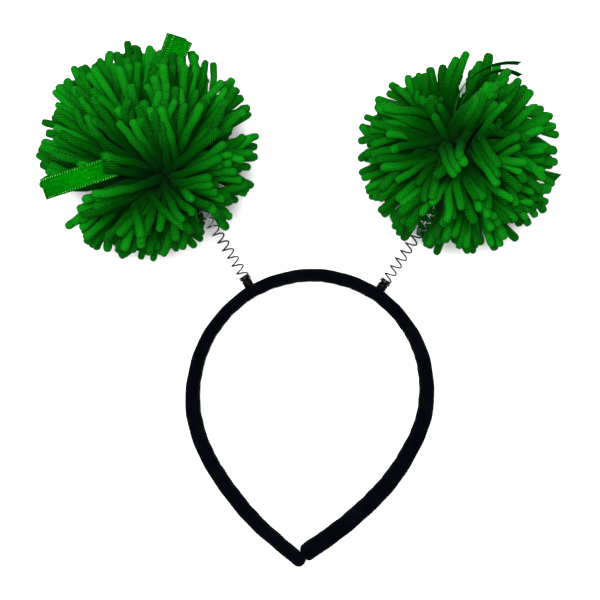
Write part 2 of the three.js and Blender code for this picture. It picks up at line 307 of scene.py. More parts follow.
def hex_colour(text):
    """An sRGB hex colour as linear red, green, blue and alpha."""
    values = [int(text[k:k + 2], 16) / 255 for k in (1, 3, 5)]
    return [v / 12.92 if v <= 0.04045 else ((v + 0.055) / 1.055) ** 2.4 for v in values] + [1.0]


def add(tree, kind, inputs=None, **settings):
    """Adds a node with its settings. inputs gives a value, or the socket that feeds it, for each input."""
    node = tree.nodes.new(kind)
    for name, value in settings.items():
        setattr(node, name, value)
    for name, value in (inputs or {}).items():
        if isinstance(value, bpy.types.NodeSocket):
            tree.links.new(value, node.inputs[name])
        else:
            node.inputs[name].default_value = value
    return node


def new_material(name):
    """An empty material and its node tree."""
    material = bpy.data.materials.new(name)
    material.use_nodes = True
    material.node_tree.nodes.clear()
    return material, material.node_tree


def shaded(material, inputs):
    """The material with its shader, given a value or a socket for each input."""
    tree = material.node_tree
    shader = add(tree, "ShaderNodeBsdfPrincipled", inputs)
    add(tree, "ShaderNodeOutputMaterial", {"Surface": shader.outputs[0]})
    return material


def colour_ramp(tree, factor, stops):
    """A colour ramp from (position, hex colour) stops."""
    node = add(tree, "ShaderNodeValToRGB", {"Fac": factor})
    elements = node.color_ramp.elements
    while len(elements) < len(stops):
        elements.new(0.5)
    for element, (position, colour) in zip(elements, stops):
        element.position = position
        element.color = hex_colour(colour)
    return node.outputs["Color"]


def maths(tree, operation, *values):
    """The result of a maths node."""
    return add(tree, "ShaderNodeMath", dict(enumerate(values)), operation=operation).outputs[0]


def remap(tree, value, source=(0.0, 1.0), to=(0.0, 1.0)):
    """A value carried from one range to another, and held to it."""
    return add(tree, "ShaderNodeMapRange", {
        "Value": value, "From Min": source[0], "From Max": source[1], "To Min": to[0], "To Max": to[1],
    }).outputs[0]


def noise(tree, where, scale=1.0, detail=2.0, roughness=0.5):
    """A noise of so many patches to a unit of where."""
    return add(tree, "ShaderNodeTexNoise", {
        "Vector": where, "Scale": scale, "Detail": detail, "Roughness": roughness,
    }).outputs["Fac"]


def scaled(tree, where, across, along):
    """UV coordinates scaled across and along."""
    return add(tree, "ShaderNodeMapping", {"Vector": where, "Scale": (across, along, 1.0)}).outputs[0]


def bump(tree, height, strength, depth_mm):
    """A normal that is roughened by a height."""
    node = add(tree, "ShaderNodeBump", {"Height": height, "Strength": strength, "Distance": depth_mm * MM})
    return node.outputs["Normal"]


def velvet():
    """Black polyester velvet: a short cut pile over foam, which swallows light and greys at its edges."""
    material, tree = new_material("black_velvet")
    where = add(tree, "ShaderNodeTexCoord").outputs["Object"]
    pile_mm, crush_mm = 0.5, 9.0
    pile = noise(tree, where, 1 / (pile_mm * MM), detail=3.0)
    crush = noise(tree, where, 1 / (crush_mm * MM))
    shade = maths(tree, "MULTIPLY", pile, crush)
    return shaded(material, {
        "Base Color": colour_ramp(tree, shade, [(0.12, "#000103"), (0.3, "#010205"), (0.5, "#06090c")]),
        "Normal": bump(tree, pile, strength=0.5, depth_mm=0.3), "Roughness": 1.0, "Specular IOR Level": 0.02,
        "Sheen Weight": 0.008, "Sheen Roughness": 0.4, "Sheen Tint": hex_colour("#7fa0c8"),
    })


def moulded_plastic():
    """Black moulded nylon: a soft gloss broken by a fine mould grain."""
    material, tree = new_material("black_nylon")
    where = add(tree, "ShaderNodeTexCoord").outputs["Object"]
    grain_mm = 0.35
    grain = noise(tree, where, 1 / (grain_mm * MM))
    return shaded(material, {
        "Base Color": colour_ramp(tree, grain, [(0.3, "#020203"), (0.7, "#060608")]),
        "Normal": bump(tree, grain, strength=0.25, depth_mm=0.1),
        "Roughness": remap(tree, grain, to=(0.38, 0.55)), "IOR": 1.53, "Specular IOR Level": 0.03,
    })


def spring_steel():
    """Drawn spring steel wire: dark drawing film in patches, and a painted highlight towards the pompoms,
    where the wire lies over the yarn.
    """
    material, tree = new_material("drawn_spring_steel")
    where = add(tree, "ShaderNodeTexCoord").outputs["Object"]
    film_mm = 2.5
    film = noise(tree, where, 1 / (film_mm * MM), detail=4.0)
    glint_from, glint_full = 18.0, 26.0  # painted highlight, from the crown's middle towards the pompoms: where it begins, and where it is full
    # painted highlight: the wire's colour brightens towards the pompoms
    painted_glint = remap(
        tree, add(tree, "ShaderNodeSeparateXYZ", {0: where}).outputs["Y"],
        source=((CROWN[1] + glint_from) * MM, (CROWN[1] + glint_full) * MM), to=(0.0, 0.5),
    )
    shade = maths(tree, "ADD", film, painted_glint)
    # its brightest stop is the painted highlight
    return shaded(material, {
        "Base Color": colour_ramp(tree, shade, [(0.3, "#0c0d0e"), (0.65, "#2c2d30"), (1.0, "#a8aaae")]),
        "Metallic": 1.0, "Roughness": remap(tree, film, to=(0.36, 0.18)),
    })


def acrylic_yarn():
    """Thick plied acrylic yarn: matt fibre, with painted shade between its plies and deep in the ball."""
    material, tree = new_material("green_acrylic_yarn")
    # the UV map runs across the plies, one unit each, and along the strand in millimetres
    uv = add(tree, "ShaderNodeUVMap", uv_map="strand").outputs["UV"]
    tint = add(tree, "ShaderNodeAttribute", attribute_name="tint").outputs["Fac"]
    shade_depth = add(tree, "ShaderNodeAttribute", attribute_name="shade_depth").outputs["Fac"]
    ply = maths(tree, "MULTIPLY", add(tree, "ShaderNodeSeparateXYZ", {0: uv}).outputs["X"], math.pi)
    crest = maths(tree, "ABSOLUTE", maths(tree, "SINE", ply))
    streaks_in_ply, streak_mm = 4.0, 0.77
    streak_height, painted_ply_shade, tint_light = 0.5, 0.3, 0.42
    streaks = noise(tree, scaled(tree, uv, streaks_in_ply, 1 / streak_mm), detail=3.0, roughness=0.65)
    streaks = remap(tree, streaks, source=(0.15, 0.85))
    height = maths(tree, "MULTIPLY_ADD", streaks, streak_height, crest)
    # painted shade between the plies: lighter on each ply's crest, darker in the grooves
    shade = maths(tree, "MULTIPLY_ADD", crest, painted_ply_shade, streaks)
    shade = maths(tree, "MULTIPLY_ADD", tint, tint_light, shade)
    # painted shade: darker towards the tie and towards each strand's root, deep in the ball
    shade = maths(tree, "MULTIPLY", shade, remap(tree, shade_depth, source=(0.25, 0.9), to=(0.1, 1.0)))
    return shaded(material, {
        "Base Color": colour_ramp(tree, shade, [(0.0, "#000700"), (0.4, "#002f00"), (1.0, "#076d0b")]),
        "Normal": bump(tree, height, strength=0.7, depth_mm=0.35), "Roughness": 0.95,
        "Specular IOR Level": 0.02, "Sheen Weight": 0.03, "Sheen Roughness": 0.5,
        "Sheen Tint": hex_colour("#40d860"),
    })


def satin():
    """Polyester satin ribbon: smooth warp floats with a silky gloss, and ribbed woven edges."""
    material, tree = new_material("green_polyester_satin")
    # the UV map runs across the ribbon from 0 to 1, and along it in millimetres
    uv = add(tree, "ShaderNodeUVMap", uv_map="ribbon").outputs["UV"]
    parts = add(tree, "ShaderNodeSeparateXYZ", {0: uv})
    rib_mm, mottle_mm, thread_mm, float_mm = 1.2, 1.6, 0.25, 16.7
    edge_mm = (1.2, 0.84, 0.48, 0.24)  # from the rim, where the ribs begin, are full, fade and end
    begin, full, fade, end = (0.5 - inset / RIBBON_WIDTH for inset in edge_mm)
    rib_height, rib_light = 1.2, 0.48
    rib = maths(tree, "SINE", maths(tree, "MULTIPLY", parts.outputs["Y"], 2 * math.pi / rib_mm))
    off_middle = maths(tree, "ABSOLUTE", maths(tree, "SUBTRACT", parts.outputs["X"], 0.5))
    edge = maths(
        tree, "MULTIPLY", remap(tree, off_middle, source=(begin, full)),
        remap(tree, off_middle, source=(fade, end), to=(1.0, 0.0)),
    )
    edge_rib = maths(tree, "MULTIPLY", rib, edge)
    threads = noise(tree, scaled(tree, uv, RIBBON_WIDTH / thread_mm, 1 / float_mm))
    height = maths(tree, "MULTIPLY_ADD", edge_rib, rib_height, threads)
    # a fine random mottle of the satin's tone, which also paints patches of sheen
    mottle = noise(tree, scaled(tree, uv, RIBBON_WIDTH / mottle_mm, 1 / mottle_mm), detail=3.0, roughness=0.6)
    mottle = remap(tree, mottle, source=(0.3, 0.7), to=(-0.2, 0.2))
    pale = maths(tree, "ADD", maths(tree, "MULTIPLY_ADD", edge_rib, rib_light, threads), mottle)
    return shaded(material, {
        "Base Color": colour_ramp(tree, pale, [
            (0.0, "#001600"), (0.3, "#003c00"), (0.75, "#005a03"), (1.0, "#55a54f"),
        ]),
        "Normal": bump(tree, height, strength=0.5, depth_mm=0.15), "Roughness": 0.42, "Metallic": 0.15,
        "Specular IOR Level": 0.0, "Specular Tint": hex_colour("#08c010"), "Anisotropic": 0.5,
    })


def pale_floor():
    """Matt pale board, lit well past white."""
    material, tree = new_material("pale_board")
    where = add(tree, "ShaderNodeTexCoord").outputs["Object"]
    mottle_mm = 250.0
    mottle = noise(tree, where, 1 / (mottle_mm * MM))
    return shaded(material, {
        "Base Color": colour_ramp(tree, mottle, [(0.0, "#f0f0f0"), (1.0, "#f3f3f3")]),
        "Roughness": 0.9, "Specular IOR Level": 0.1,
    })


# Band

BAND_SECTION_POINTS = 40
BAND_STEP = 1.6
BAND_END_STEPS = 7
LUMP_HEIGHT = 0.16  # how far the padding stands in or out
LUMP_LENGTHS = (7.3, 3.1)  # of band, for one radian of each of the two waves that make the lumps
WRINKLE_HEIGHT = 0.1
WRINKLE_LENGTH = 1.15  # of band, for one radian
WRINKLE_DRIFT = 1.5  # radians that the wrinkles run early or late
WRINKLE_DRIFT_LENGTH = 11  # of band, for one radian of that


def band_stations():
    """Rows of (side, distance, swell) from the left tip to the right one. swell shrinks at the round tips."""
    arms = {}
    for side in SIDES:
        round_off = ARM_END_ROUND[side]
        straight = arm_length(side) - round_off
        rows = [(side, d, 1.0) for d in np.linspace(0, straight, round(straight / BAND_STEP))]
        for angle in np.linspace(0, math.pi / 2, BAND_END_STEPS + 1)[1:]:
            distance = straight + round_off * math.sin(angle)
            inset = round_off * (1 - math.cos(angle))
            rows.append((side, distance, 1 - 2 * inset / band_thickness(side, distance)))
        arms[side] = rows
    return arms["left"][::-1] + arms["right"][1:]


def band_point(side, distance, swell, angle):
    """A point of the padded skin: a soft-cornered oval, pressed flat below, with low lumps and wrinkles."""
    power = 2 / BAND_SQUARENESS
    across = math.copysign(abs(math.cos(angle)) ** power, math.cos(angle))
    height = math.copysign(abs(math.sin(angle)) ** power, math.sin(angle))
    at, outward = arm_frame(side, distance)
    along = ARM_MIRROR[side] * distance
    long, short = LUMP_LENGTHS
    lump = math.sin(along / long + 2 * angle) * math.sin(along / short - angle) * LUMP_HEIGHT
    drift = WRINKLE_DRIFT * math.sin(along / WRINKLE_DRIFT_LENGTH)
    wrinkle = math.sin(along / WRINKLE_LENGTH + drift) * max(0.0, -across) * WRINKLE_HEIGHT
    half = swell * band_thickness(side, distance) / 2 + (lump + wrinkle) * swell
    lift = max(height, -BAND_FLAT_SHARE) * swell * BAND_DEPTH / 2
    return at + outward * across * half + UP * lift


def make_band(material):
    """The padded band, one closed skin from tip to tip."""
    stations = band_stations()
    last = len(stations) - 1

    def place(row, column):
        return band_point(*stations[round(row * last)], 2 * math.pi * column)

    bm = laid_grid(last, BAND_SECTION_POINTS, place)
    bmesh.ops.remove_doubles(bm, verts=bm.verts, dist=WELD)
    bmesh.ops.holes_fill(bm, edges=bm.edges, sides=0)
    bmesh.ops.recalc_face_normals(bm, faces=bm.faces)
    band = piece_from_bmesh(bm, "velvet_band", material, ["band"])


# Pegs

PEG_TURNS = 32
PEG_EASE = 0.2  # how far the moulded edges are rounded


def make_peg(side, material):
    """A turned peg: a collar with eased edges, and a round-headed nub."""
    face, direction = peg_frame(side)
    bm = bmesh.new()
    top = COLLAR_HEIGHT + NUB_HEIGHT
    ease = PEG_EASE
    profile = (
        (0.0, -PEG_ROOT), (COLLAR_RADIUS, -PEG_ROOT), (COLLAR_RADIUS, COLLAR_HEIGHT - 2 * ease),
        (COLLAR_RADIUS - 0.3 * ease, COLLAR_HEIGHT - 0.6 * ease), (COLLAR_RADIUS - ease, COLLAR_HEIGHT),
        (NUB_RADIUS, COLLAR_HEIGHT), (NUB_RADIUS, top - 3 * ease), (NUB_RADIUS - ease, top - ease),
        (NUB_RADIUS - 3 * ease, top), (0.0, top),
    )
    verts = [bm.verts.new((radius, 0, height)) for radius, height in profile]
    edges = [bm.edges.new(pair) for pair in zip(verts, verts[1:])]
    bmesh.ops.spin(
        bm, geom=verts + edges, cent=(0, 0, 0), axis=(0, 0, 1),
        angle=2 * math.pi, steps=PEG_TURNS, use_merge=True,
    )
    bmesh.ops.remove_doubles(bm, verts=bm.verts, dist=WELD)
    bmesh.ops.recalc_face_normals(bm, faces=bm.faces)
    turn = Vector((0, 0, 1)).rotation_difference(Vector(direction)).to_matrix()
    bmesh.ops.rotate(bm, verts=bm.verts, cent=(0, 0, 0), matrix=turn)
    bmesh.ops.translate(bm, verts=bm.verts, vec=Vector(face))
    piece_from_bmesh(bm, f"{side}_peg", material, [f"peg_{side}"])


# Springs

WIRE_SIDES = 10
COIL_STEPS = 28
SPRING_POINTS = 400  # of the line that the helix is bent along


def make_spring(side, material):
    """A helix of round wire, spun straight and then bent along the spring's own line."""
    line = even_points(spring_line(side), SPRING_POINTS)
    length = lengths_along(line)[-1]
    open_turns = (length - CLOSE_TURNS * CLOSE_PITCH) / OPEN_PITCH
    bm = bmesh.new()
    ring = bmesh.ops.create_circle(bm, segments=WIRE_SIDES, radius=WIRE_RADIUS)["verts"]
    upright = Vector((0, 0, 1)).rotation_difference(Vector((0, 1, 0))).to_matrix()
    bmesh.ops.rotate(bm, verts=ring, cent=(0, 0, 0), matrix=upright)
    bmesh.ops.translate(bm, verts=ring, vec=(COIL_RADIUS, 0, 0))
    geometry = list(bm.verts) + list(bm.edges)
    for turns, pitch in ((CLOSE_TURNS, CLOSE_PITCH), (open_turns, OPEN_PITCH)):
        count = round(turns * COIL_STEPS)
        result = bmesh.ops.spin(
            bm, geom=geometry, cent=(0, 0, 0), axis=(0, 0, 1), dvec=(0, 0, pitch * turns / count),
            angle=2 * math.pi * turns, steps=count,
        )
        geometry = result["geom_last"]
    bmesh.ops.holes_fill(bm, edges=bm.edges, sides=0)
    bmesh.ops.recalc_face_normals(bm, faces=bm.faces)
    tangents = unit(np.gradient(line, axis=0))
    square = unit(np.cross(line[len(line) // 2] - line[0], line[-1] - line[len(line) // 2]))
    for vert in bm.verts:
        share = np.clip(vert.co.z / length, 0, 1) * (len(line) - 1)
        k = min(int(share), len(line) - 2)
        at = line[k] + (line[k + 1] - line[k]) * (share - k)
        beyond = vert.co.z - np.clip(vert.co.z, 0, length)
        up = np.cross(tangents[k], square)
        vert.co = Vector(at + square * vert.co.x + up * vert.co.y + tangents[k] * beyond)
    piece_from_bmesh(bm, f"{side}_spring", material, [f"spring_{side}"])


# Pompoms: how the strands stand

STRANDS = 430
STRAND_SPREAD = 0.13  # of the strands' directions, in radians
LOCKS = 120  # groups of neighbouring strands that curl together
LOCK_PULL = 0.25  # how far strands lean to the middle of their lock
LOCK_CURL = 0.26
STRAND_CURL = 0.22
STRAY_SHARE = 0.08  # of the strands, which cross their neighbours
STRAY_CURL = 0.5
RISE = 0.7  # how steeply strands near the pit stand before they fall outwards
RISE_COSINES = (0.2, 0.8)  # of the angle from the pit: where that starts, and where it is full
FALL = 0.8  # the lower, the further they fall
SHORTEST = 0.78  # reach, as a share of the ball's radius
LENGTH_SPREAD = (1.1, 2.6)  # the two shapes of a beta spread, in which most strands are nearly full length
TUFT_SPREAD = 0.06
TUFT_SHORTEST = 0.9
WAIST = 7.0  # radius of the yarn where it is tied
WAIST_FROM = 0.3  # the roots fill the waist from this share of it
TIE_HALF = 9.0  # the tied yarn lies side by side this far each way
BOW = 0.48  # where along a strand it bends
DROOP = 2.5  # how far the tips of strands that stand sideways sink
LINE_POINTS = 60
TINT_SPREAD = 0.5  # how far a strand's own shade is up or down

# How they give way: to each other, to the spring, to the ribbons and to the floor

YARN_GAP = 3.6  # least distance between neighbouring strands' middles in the outer part
MID_SHARE = 0.7  # where along a strand it is eased off its neighbours
EASE_ROUNDS = 24
EASE_PUSH = 0.3  # share of what is missing that each round makes up
EASE_NEAREST = 0.05  # strands nearer than this are pushed no harder
SPRING_CLEAR = 5.5  # from the spring's middle to strands beside it
SPRING_EASE = (-8, 4)  # from where the parting is: where it opens, and where it is full
SPRING_HEIGHTS = (-7, -1)  # from its middle: strands below the first stay, those above the second part
RIBBON_PRESS = 7.0  # how far a strand gives way under a ribbon's face
EDGE_PRESS = 2.5  # and beside a ribbon that stands on its edge
RIBBON_CLEAR = 0.4  # between a ribbon's middle and a strand
RIBBON_EASE = (1, 5)  # outside a ribbon: where strands start to come free of it, and where they are free
RIBBON_STRIDE = 3  # of the points of a ribbon's line, enough to find the nearest
CUT_OVER = 0.5  # a strand that can't give way is cut where it lies this much over a ribbon
LEAST_KEPT = 0.4  # a strand cut shorter than this by a ribbon is left out
UNDER_TIPS = (0.33, 0.62)  # where along the spring the tips of the strands below it lie
UNDER_SPREAD = 3.0
UNDER_BEND = 0.35  # share of the way to their tips at which they are down
FLOOR_LIFT = 0.9  # of a strand's middle over the floor, in yarn radii
FLOOR_EASE = 1.2  # height over which strands level out

# What a strand looks like

YARN_RADIUS = 2.05
YARN_UNEVEN = 0.12
YARN_SWELL = 0.06  # how far a strand swells and thins along its length
YARN_SWELLS = 2
WOBBLE = 0.24  # how far a strand wanders off its line
WOBBLE_LENGTH = 14.0
WOBBLE_FULL = 0.4  # share of its length at which it wanders fully
TIP_TAPER = 0.08
TIP_TAPER_RANGE = (-0.3, 1)  # share of the taper, below 0 for a tip that has opened
TIP_TAPER_FROM = 0.55
TIP_LENGTH = 1.2  # of the rounded tip, in yarn radii
TIP_DOME = ((0.5, 0.96), (0.95, 0.78), (1.17, 0.44))  # (advance, width), in yarn radii
PLIES = 9
PLY_LEAD = 16.0  # length of strand in which a ply goes once round
STRAND_SIDES = 8
STRAND_RINGS = 12
SHADE_DEPTH_FROM_TIE = 0.5  # share of the painted shade that follows the distance from the tie; the rest follows a strand's own length


def combed_off(angle, clear):
    """An angle from a parting, moved out of it, with those just outside closed up."""
    return np.where(angle < 2 * clear, angle / 2 + clear, angle)


def spread_directions(pompom, count, rng):
    """Directions spread evenly over the ball about the pole, loosened, and combed out of pit and notches."""
    k = np.arange(count)
    height = 1 - (2 * k + 1) / count
    ring = np.sqrt(1 - height ** 2)
    around = k * math.pi * (3 - math.sqrt(5))  # the golden angle, from one to the next
    pole, pit = unit(pompom["pole"]), unit(pompom["pit"])
    first = unit(np.cross(pole, pit))
    second = np.cross(pole, first)
    directions = np.outer(ring * np.cos(around), first) + np.outer(ring * np.sin(around), second)
    directions = unit(directions + np.outer(height, pole) + rng.normal(0, STRAND_SPREAD, (count, 3)))
    clear = math.radians(pompom["clear"])
    angle = np.arccos(np.clip(directions @ pit, -1, 1))[:, None]
    aside = unit(directions - (directions @ pit)[:, None] * pit)
    wanted = combed_off(angle, clear)
    quarters = np.minimum(wanted / (math.pi / 2), 1)
    wanted += (quarters ** FALL - quarters) * math.pi / 2
    directions = pit * np.cos(wanted) + aside * np.sin(wanted)
    for bearing, half in pompom["notches"]:
        plan = np.hypot(directions[:, 0], directions[:, 1])
        turn = np.arctan2(directions[:, 1], directions[:, 0]) - math.radians(bearing)
        turn = (turn + math.pi) % (2 * math.pi) - math.pi
        turn = np.copysign(combed_off(np.abs(turn), math.radians(half)), turn) + math.radians(bearing)
        directions = np.stack((plan * np.cos(turn), plan * np.sin(turn), directions[:, 2]), axis=1)
    return directions


def eased_apart(points):
    """The points, with those that are nearer than the gap pushed apart."""
    points = points.copy()
    for _ in range(EASE_ROUNDS):
        off = points[:, None] - points[None]
        distance = np.linalg.norm(off, axis=2)
        short = np.where(distance < YARN_GAP, YARN_GAP - distance, 0.0)
        np.fill_diagonal(short, 0.0)
        points += EASE_PUSH * (off * (short / np.maximum(distance, EASE_NEAREST))[:, :, None]).sum(1)
    return points


def bent_lines(root, bend, tip):
    """Curves that leave each root towards its bend and end at its tip."""
    t = np.linspace(0, 1, LINE_POINTS)[None, :, None]
    return (1 - t) ** 2 * root[:, None] + 2 * t * (1 - t) * bend[:, None] + t ** 2 * tip[:, None]


def strand_directions(pompom, rng):
    """Which way each strand's tip lies from the heart, how far, and the curl that it shares with its lock."""
    groups = [spread_directions(pompom, STRANDS, rng)]
    reaches = [1 - (1 - SHORTEST) * rng.beta(*LENGTH_SPREAD, STRANDS)]
    for start, end, count, reach in pompom["tufts"]:
        share = rng.uniform(0, 1, count)
        between = np.outer(1 - share, start) + np.outer(share, end)
        groups.append(unit(between + rng.normal(0, TUFT_SPREAD, (count, 3))))
        reaches.append(reach * rng.uniform(TUFT_SHORTEST, 1, count))
    directions = np.concatenate(groups)
    reach = np.concatenate(reaches)[:, None] * pompom["radius"]
    locks = spread_directions(pompom, LOCKS, rng)
    lock = np.argmax(directions @ locks.T, axis=1)
    stray = np.where(rng.uniform(0, 1, (len(directions), 1)) < STRAY_SHARE, STRAY_CURL, STRAND_CURL)
    curl = rng.normal(0, LOCK_CURL, (LOCKS, 3))[lock] + rng.normal(0, 1, directions.shape) * stray
    return unit(directions + LOCK_PULL * locks[lock]), reach, curl


def strand_lines(side, rng):
    """The strands' middle lines, from the tie out to their tips, and which side of the tie each is on."""
    pompom = POMPOMS[side]
    heart, pole, pit = np.array(pompom["heart"]), unit(pompom["pole"]), unit(pompom["pit"])
    directions, reach, curl = strand_directions(pompom, rng)
    count = len(directions)
    tip = heart + pompom["sway"] + directions * reach
    spray = np.where(directions @ pole >= 0, 1.0, -1.0)[:, None]
    square = directions - (directions @ pole)[:, None] * pole
    along_tie = rng.uniform(-TIE_HALF, TIE_HALF, (count, 1)) * unit(np.cross(pole, pit))
    root = heart + pompom["tie"] + square * WAIST * rng.uniform(WAIST_FROM, 1.0, (count, 1)) + along_tie
    span = tip - root
    length = np.linalg.norm(span, axis=1, keepdims=True)
    rise = RISE * smooth_share(directions @ pit, *RISE_COSINES)[:, None] * pit
    bend = root + unit(unit(span) + pompom["pole_share"] * spray * pole + rise + curl) * BOW * length
    near, far, middle = (1 - MID_SHARE) ** 2, MID_SHARE ** 2, 2 * MID_SHARE * (1 - MID_SHARE)
    mid = eased_apart(near * root + middle * bend + far * tip)
    tip = eased_apart(tip)
    bend = (mid - near * root - far * tip) / middle
    lines = bent_lines(root, bend, tip)
    sideways = np.linalg.norm(directions[:, :2], axis=1)[:, None]
    lines[:, :, 2] -= DROOP * sideways * np.linspace(0, 1, LINE_POINTS) ** 2
    return lines, spray[:, 0]


def under_lines(side, rng):
    """Strands that dip from the tie to the floor and run along it below the spring."""
    pompom = POMPOMS[side]
    count = pompom["under"]
    spring = spring_line(side)
    at = rng.uniform(*UNDER_TIPS, count) * (len(spring) - 1)
    tip = spring[at.astype(int)] + rng.normal(0, UNDER_SPREAD, (count, 3))
    tip[:, 2] = YARN_RADIUS
    root = np.add(pompom["heart"], pompom["tie"]) + rng.uniform(-WAIST, WAIST, (count, 3))
    bend = root + UNDER_BEND * (tip - root)
    bend[:, 2] = YARN_RADIUS
    return bent_lines(root, bend, tip)


def part_for_spring(lines, side):
    """Pushes strands that lie over the spring's outer stretch aside, each to its own tip's side."""
    spring = spring_line(side)
    heart = np.array(POMPOMS[side]["heart"])
    plan = unit((spring[0] - heart) * (1, 1, 0))
    across = np.cross(UP, plan)
    ahead = (lines - heart) @ plan
    spring_ahead = (spring - heart) @ plan
    order = np.argsort(spring_ahead)
    spring_aside = np.interp(ahead, spring_ahead[order], ((spring - heart) @ across)[order])
    spring_height = np.interp(ahead, spring_ahead[order], spring[order, 2])
    aside = (lines - heart) @ across - spring_aside
    opens, full = (POMPOMS[side]["parting"] + ease for ease in SPRING_EASE)
    clear = SPRING_CLEAR * smooth_share(ahead, opens, full)
    clear *= smooth_share(lines[:, :, 2] - spring_height, *SPRING_HEIGHTS)
    way = np.where(aside[:, -1:] >= 0, 1.0, -1.0)
    short = np.maximum(clear - way * aside, 0)
    return lines + (way * short)[:, :, None] * across


def clear_of_ribbons(lines, side, tufted):
    """The strands pressed off the ribbons' bare stretches, and the share kept of each, cut if it is far over.

    A tuft may lean over a ribbon that stands on its edge.
    """
    ends = np.full(len(lines), lines.shape[1] - 1)
    hold, free = RIBBON_EASE
    for tail in TAILS[side]:
        line = tail_line(side, tail)[round(tail["bare"] * len(FINE))::RIBBON_STRIDE]
        ahead, across, face = tail_frame(tail, line)
        face *= np.where(face[:, 2:] < 0, -1.0, 1.0)
        off = lines[:, :, None, :] - line
        near = np.argmin(np.linalg.norm(off, axis=3), axis=2)
        off = np.take_along_axis(off, near[:, :, None, None], axis=2)[:, :, 0]
        above = (off * face[near]).sum(2)
        aside = (off * across[near]).sum(2)
        aside = np.abs(aside) if tail["flat"] else -aside
        beyond = np.abs((off * ahead[near]).sum(2))
        over = 1 - smooth_share(aside, RIBBON_WIDTH / 2 + hold, RIBBON_WIDTH / 2 + free)
        over *= 1 - smooth_share(beyond, hold, free)
        if not tail["flat"]:
            over[tufted] = 0
        way = -1.0 if tail["flat"] else np.where((above * over).sum(1) >= 0, 1.0, -1.0)[:, None]
        needed = np.maximum(YARN_RADIUS + RIBBON_CLEAR - way * above, 0)
        press = RIBBON_PRESS if tail["flat"] else EDGE_PRESS
        cut = (needed > press) & (over > CUT_OVER)
        ends = np.where(cut.any(1), np.minimum(ends, cut.argmax(1)), ends)
        lines = lines + (way * np.minimum(needed, press) * over)[:, :, None] * face[near]
    along = lengths_along(lines)
    return lines, np.take_along_axis(along, ends[:, None], axis=1)[:, 0] / along[:, -1]


def strand_rings(line, share, rng):
    """The rings of points round one strand, their places along it, and the middles of the first and last."""
    along = lengths_along(line)
    radius = YARN_RADIUS * (1 + YARN_UNEVEN * rng.uniform(-1, 1))
    end = share * along[-1]
    dome = end - TIP_LENGTH * radius + radius * np.array([advance for advance, _ in TIP_DOME])
    body = np.linspace(0, 1, STRAND_RINGS)
    swell = 1 + YARN_SWELL * np.sin(2 * math.pi * (YARN_SWELLS * body + rng.uniform()))
    swell -= TIP_TAPER * rng.uniform(*TIP_TAPER_RANGE) * smooth_share(body, TIP_TAPER_FROM, 1)
    where = np.concatenate((body * (end - TIP_LENGTH * radius), dome))
    width = np.concatenate((swell, [swell[-1] * part for _, part in TIP_DOME])) * radius
    middle = points_at(where, along, line)
    waves = 2 * math.pi * (where[:, None] / WOBBLE_LENGTH + rng.uniform(0, 1, 3))
    middle += WOBBLE * np.sin(waves) * smooth_share(where / end, 0, WOBBLE_FULL)[:, None]
    ahead = unit(np.gradient(middle, axis=0))
    across = unit(np.cross(ahead, unit(rng.normal(0, 1, 3))))
    up = np.cross(ahead, across)
    turn = 2 * math.pi * np.arange(STRAND_SIDES) / STRAND_SIDES
    out = np.cos(turn)[:, None] * across[:, None] + np.sin(turn)[:, None] * up[:, None]
    rings = middle[:, None] + out * width[:, None, None]
    rings[:, :, 2] = np.maximum(rings[:, :, 2], 0.0)
    return rings, where, middle[[0, -1]]


def strand_faces():
    """The faces of one strand: walls between its rings, then a fan at its root and one at its tip."""
    sides = STRAND_SIDES
    rows = STRAND_RINGS + len(TIP_DOME)
    column = np.arange(sides)
    following = (column + 1) % sides
    low = np.arange(rows - 1)[:, None] * sides
    high = low + sides
    walls = np.stack((low + column, low + following, high + following, high + column), axis=2)
    last = (rows - 1) * sides
    root_fan = np.stack((following, column, np.full(sides, rows * sides)), axis=1)
    tip_fan = np.stack((last + column, last + following, np.full(sides, rows * sides + 1)), axis=1)
    return walls.reshape(-1, 4), np.concatenate((root_fan, tip_fan))


def strand_uvs(where):
    """The UV map of those faces: across the plies, which wind round the strand, and along it."""
    column = np.arange(STRAND_SIDES)
    left, right = PLIES * column / STRAND_SIDES, PLIES * (column + 1) / STRAND_SIDES
    wound = PLIES * where[:, None] / PLY_LEAD
    level = np.repeat(where[:, None], STRAND_SIDES, axis=1)
    walls = np.stack((
        left + wound[:-1], level[:-1], right + wound[:-1], level[:-1],
        right + wound[1:], level[1:], left + wound[1:], level[1:],
    ), axis=2)
    root_fan = np.stack((right, level[0], left, level[0], (left + right) / 2, level[0]), axis=1)
    left, right = left + wound[-1], right + wound[-1]
    tip_fan = np.stack((left, level[-1], right, level[-1], (left + right) / 2, level[-1]), axis=1)
    return np.concatenate((walls.ravel(), root_fan.ravel(), tip_fan.ravel()))


